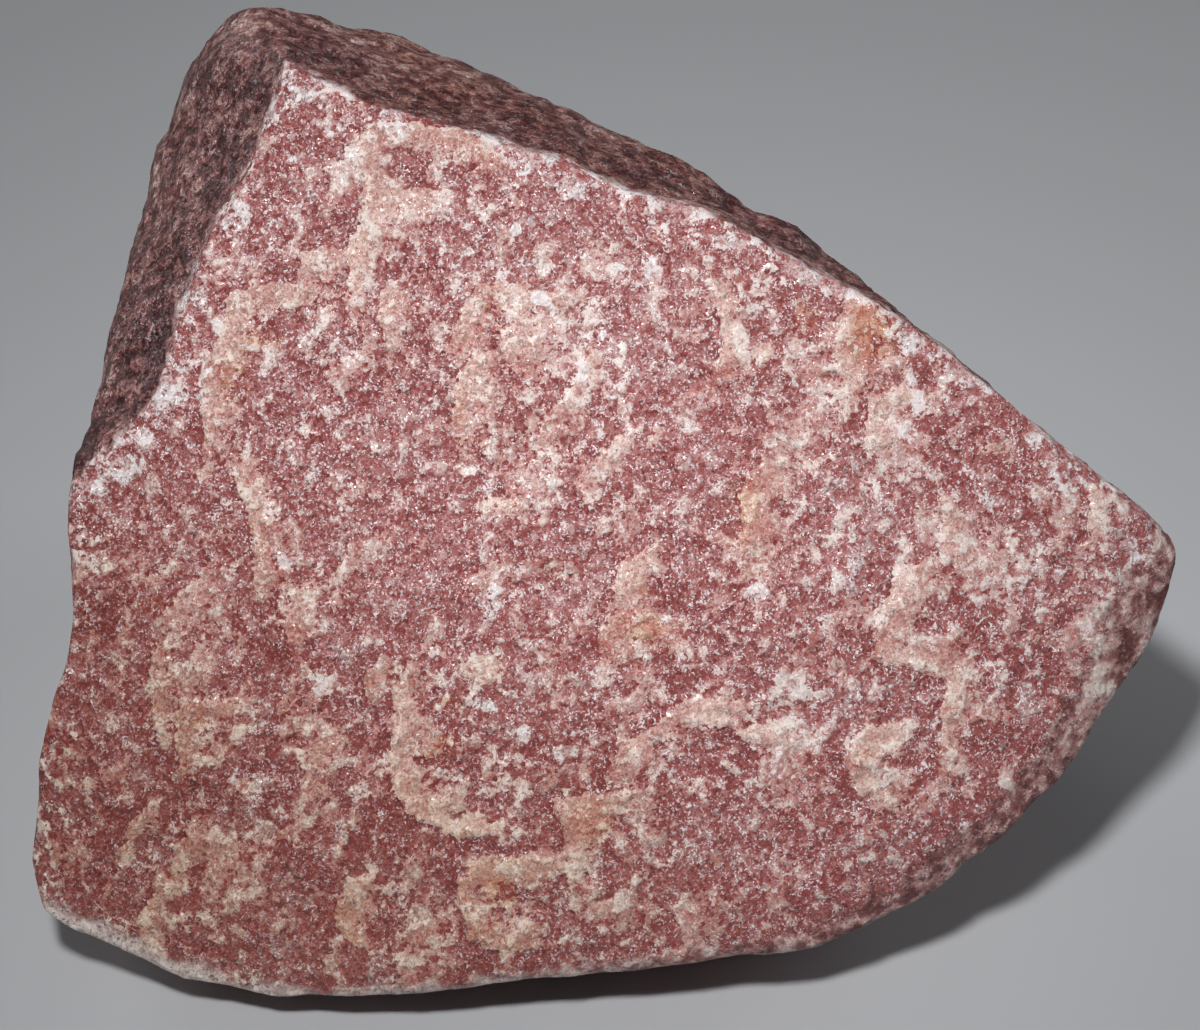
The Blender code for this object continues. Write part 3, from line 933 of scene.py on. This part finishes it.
def step_between(low, high, value):
    """A mask that goes from 0 to 1 while a value goes from low to high."""
    inputs = {"Value": value, "From Min": low, "From Max": high}
    return add_node(tree, "ShaderNodeMapRange", inputs, interpolation_type="SMOOTHSTEP").outputs[0]


def multiply_colours(share, colour, tint):
    return mix_colours(tree, share, colour, tint, blend="MULTIPLY")


# %% [markdown]
# Real grains interlock, and plain Voronoi cells have straight sides. So the place that the cells are
# asked for is first nudged by a fine noise, by less than a fifth of a millimetre. On top of the
# grains come clumps about 1.5 mm wide.

# %% Grains and clumps
NUDGE = 0.35 * MM
NUDGE_SCALE = 2500.0
GRAIN_SIZE = 0.40
FACET_SIZE = 0.17
CLUMP_SIZE = 1.5

wander = add_node(tree, "ShaderNodeTexNoise", {"Vector": place, "Scale": NUDGE_SCALE, "Detail": 0.0})
nudge = on_vectors(tree, "SUBTRACT", wander.outputs["Color"], (0.5, 0.5, 0.5))
nudged = on_vectors(tree, "ADD", place, on_vectors(tree, "SCALE", nudge, scale=NUDGE))


def grain_node(size):
    inputs = {"Place": nudged, "Grain Size": size}
    return add_node(tree, "ShaderNodeGroup", inputs, node_tree=grains_group)


coarse = grain_node(GRAIN_SIZE)
fine = grain_node(FACET_SIZE)
shade = calculate(tree, "SUBTRACT", coarse.outputs["Shade"], 0.5)
speck = calculate(tree, "SUBTRACT", fine.outputs["Shade"], 0.5)
small = mottle(CLUMP_SIZE, detail=1.0, contrast=1.5)
blotch = attribute("blotch")
print("grains of", GRAIN_SIZE, "mm with facets of", FACET_SIZE, "mm")

# %% [markdown]
# A colour border on stone seldom runs through the middle of a grain. Each mask therefore adds the
# grain's own shade to the stored number before it is cut off, so its edge follows the grains.

# %% Masks with edges that follow the grains
plate_value = weighted_sum(0.0, (attribute("plate"), 1.0), (shade, 0.30), (small, 0.34))
plate = step_between(0.26, 0.44, plate_value)
clump_value = weighted_sum(
    0.0,
    (small, 0.9),
    (shade, 0.26),
    (blotch, 0.12),
    (plate, -0.16),
    (attribute("lip_shade"), -0.6),
)
clump = step_between(0.12, 0.30, clump_value)
white_value = weighted_sum(0.0, (attribute("white"), 1.0), (shade, 0.34), (small, 0.34))
white = step_between(0.30, 0.60, white_value)
print("masks made: plate, clump, white")

# %% [markdown]
# On the break, flakes and crushed quartz push the value up, and dark spots and the painted shade
# beside the lips pull it down. The clumps are greyer than the crimson between them, the flakes are a
# warm salmon, and stains are multiplied on top, as films on a real stone are. So is a darker, browner
# tint at the lower left, which is partly painted shade.

# %% Colour of the fresh break
paleness = calculate(tree, "MULTIPLY", plate, weighted_sum(0.20, (attribute("pale"), 1.02)))
fresh_value = weighted_sum(
    0.17,
    (shade, 0.26),
    (speck, 0.36),
    (clump, 0.25),
    (blotch, 0.18),
    (paleness, 1.0),
    (white, 0.52),
    (attribute("dark"), -0.35),
    (attribute("lip_shade"), -0.20),
)
fresh_colour = colour_ramp(tree, fresh_value, FRESH_RAMP)
salmon = calculate(tree, "MULTIPLY", plate, weighted_sum(0.9, (white, -0.6)))
fresh_colour = multiply_colours(salmon, fresh_colour, SALMON)
hue = weighted_sum(0.25, (coarse.outputs["Random"], 0.4), (small, 0.9), (blotch, 0.3))
hue_tint = mix_colours(tree, hue, CRIMSON_TINT, GREY_TINT)
fresh_colour = multiply_colours(1.0, fresh_colour, hue_tint)
stain = calculate(tree, "MULTIPLY", attribute("orange"), weighted_sum(1.0, (white, -0.8)))
fresh_colour = multiply_colours(1.0, fresh_colour, colour_ramp(tree, stain, STAIN_RAMP))
# Darker and browner at the lower left; the darkening is partly painted shade where the light falls off.
fresh_colour = multiply_colours(attribute("lower_left_shade_and_brown"), fresh_colour, LOWER_LEFT_SHADE_TINT)
print("colour of the break made, nodes so far:", len(tree.nodes))

# %% [markdown]
# The sides and the rim are built in the same way from fewer parts. The sides get their beds, and
# painted shade in their pits and in the groove behind the ridge. On the rim the clumps count for more
# than the grains, because the grains there are worn smooth.

# %% Colour of the sides and of the rim
side_value = weighted_sum(
    0.42,
    (shade, 0.40),
    (speck, 0.34),
    (small, 0.42),
    (blotch, 0.18),
    (attribute("pit_shade"), -0.24),
    (attribute("beds"), 0.22),
    (attribute("groove_shade"), -0.20),
)
side_colour = colour_ramp(tree, side_value, WEATHERED_RAMP)
side_colour = multiply_colours(attribute("orange"), side_colour, RUST_TINT)
worn_value = weighted_sum(
    0.44,
    (shade, 0.26),
    (speck, 0.20),
    (small, 0.60),
    (blotch, 0.38),
    (attribute("foot"), 0.84),
)
worn_colour = colour_ramp(tree, worn_value, WORN_RAMP)
colour = mix_colours(tree, attribute("fresh"), side_colour, fresh_colour)
colour = mix_colours(tree, attribute("worn"), colour, worn_colour)
print("colours joined: fresh, sides, rim")

# %% [markdown]
# A facet that faces the lamp glints, and one that is turned away lies in shadow. Facets this small
# mostly come out as noise in a still image, so some of both are painted as well. A facet is bright if
# its own random number and its grain's are both high, and dark if its own is very low.

# %% Facets that glint and facets in shadow
sparkle = weighted_sum(-0.20, (fine.outputs["Random"], 1.0), (coarse.outputs["Random"], 0.40))
glint_strength = weighted_sum(
    0.30,
    (attribute("fresh"), 0.40),
    (small, 0.4),
    (plate, -0.24),
    (attribute("lower_left_shade_and_brown"), -0.34),
)
glint = calculate(tree, "MULTIPLY", step_between(0.78, 0.98, sparkle), glint_strength)
shadow = step_between(0.20, 0.02, fine.outputs["Random"])
shadow = calculate(tree, "MULTIPLY", shadow, weighted_sum(0.72, (plate, -0.34)))
colour = mix_colours(tree, glint, colour, GLINT_COLOUR)
colour = mix_colours(tree, shadow, colour, SHADOW_COLOUR)
tree.links.new(colour, shader.inputs["Base Color"])
print("base colour linked, nodes so far:", len(tree.nodes))

# %% [markdown]
# The rest is in the light. Every grain, and every facet on it, leans its own way, a bump rounds the
# clumps, and some grains are glossier than others. That makes the stone sparkle when it is turned.

# %% Facets, clumps and gloss
GRAIN_TILT = 0.50
FACET_TILT = 0.35
CLUMP_HEIGHT = 0.25 * MM
CLUMP_STRENGTH = 0.6
SMOOTHEST = 0.22
ROUGHNESS_SPREAD = 0.55

tilt = on_vectors(tree, "SCALE", coarse.outputs["Push"], scale=GRAIN_TILT)
tilt = on_vectors(tree, "ADD", tilt, on_vectors(tree, "SCALE", fine.outputs["Push"], scale=FACET_TILT))
leaning = on_vectors(tree, "ADD", add_node(tree, "ShaderNodeNewGeometry").outputs["Normal"], tilt)
leaning = on_vectors(tree, "NORMALIZE", leaning)
inputs = {"Height": small, "Normal": leaning, "Strength": CLUMP_STRENGTH, "Distance": CLUMP_HEIGHT}
rounding = add_node(tree, "ShaderNodeBump", inputs)
tree.links.new(rounding.outputs["Normal"], shader.inputs["Normal"])
roughness = calculate(tree, "MULTIPLY_ADD", coarse.outputs["Random"], ROUGHNESS_SPREAD, SMOOTHEST)
tree.links.new(roughness, shader.inputs["Roughness"])
shader.inputs["Specular IOR Level"].default_value = 0.5
stone.data.materials.clear()
stone.data.materials.append(material)
print("nodes in the material:", len(tree.nodes))

# %% [markdown]
# ## A flat layout for baked colours
#
# Other programs can't run these nodes, so to reach them the colours have to be baked into an image,
# and that needs a layout. Each triangle is laid flat by looking straight along the direction that it
# faces most, out of six. The broken face gets the largest share of the image, because it is what
# people look at.

# %% Layout: for each direction its two axes, its place and how many millimetres fill the square
FACE_SPAN = 178.0
SIDE_SPAN = 335.0
CHARTS = (
    (OUT, ACROSS, UP, (0.01, 0.01), FACE_SPAN),
    (-OUT, -ACROSS, UP, (0.01, 0.58), SIDE_SPAN),
    (UP, OUT, ACROSS, (0.38, 0.58), SIDE_SPAN),
    (-UP, ACROSS, OUT, (0.58, 0.80), SIDE_SPAN),
    (-ACROSS, OUT, UP, (0.69, 0.01), SIDE_SPAN),
    (ACROSS, UP, OUT, (0.69, 0.59), SIDE_SPAN),
)

corner_points = np.empty(len(stone.data.loops), np.int32)
stone.data.loops.foreach_get("vertex_index", corner_points)
first, second, third = (points[corner_points[start::3]] for start in range(3))
facing = np.cross(second - first, third - first)
chart_of = np.argmax(facing @ np.array([chart[0] for chart in CHARTS]).T, axis=1)
layout = np.zeros((len(corner_points), 2))
for number, (_, along_u, along_v, (u, v), span) in enumerate(CHARTS):
    chosen = np.repeat(chart_of == number, 3)
    flat = points[corner_points[chosen]] @ np.stack([along_u, along_v]).T
    size = (flat.max(axis=0) - flat.min(axis=0)) / span
    layout[chosen] = (flat - flat.min(axis=0)) / span + (u, v)
    print("chart", number, "runs from", (u, v), "to", (round(u + size[0], 3), round(v + size[1], 3)))
layer = stone.data.uv_layers.new(name="OFBake")
layer.data.foreach_set("uv", layout.astype(np.float32).ravel())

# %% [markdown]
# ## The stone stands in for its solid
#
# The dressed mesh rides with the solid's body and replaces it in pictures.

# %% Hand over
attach(stone, "root")
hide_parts("quartzite")
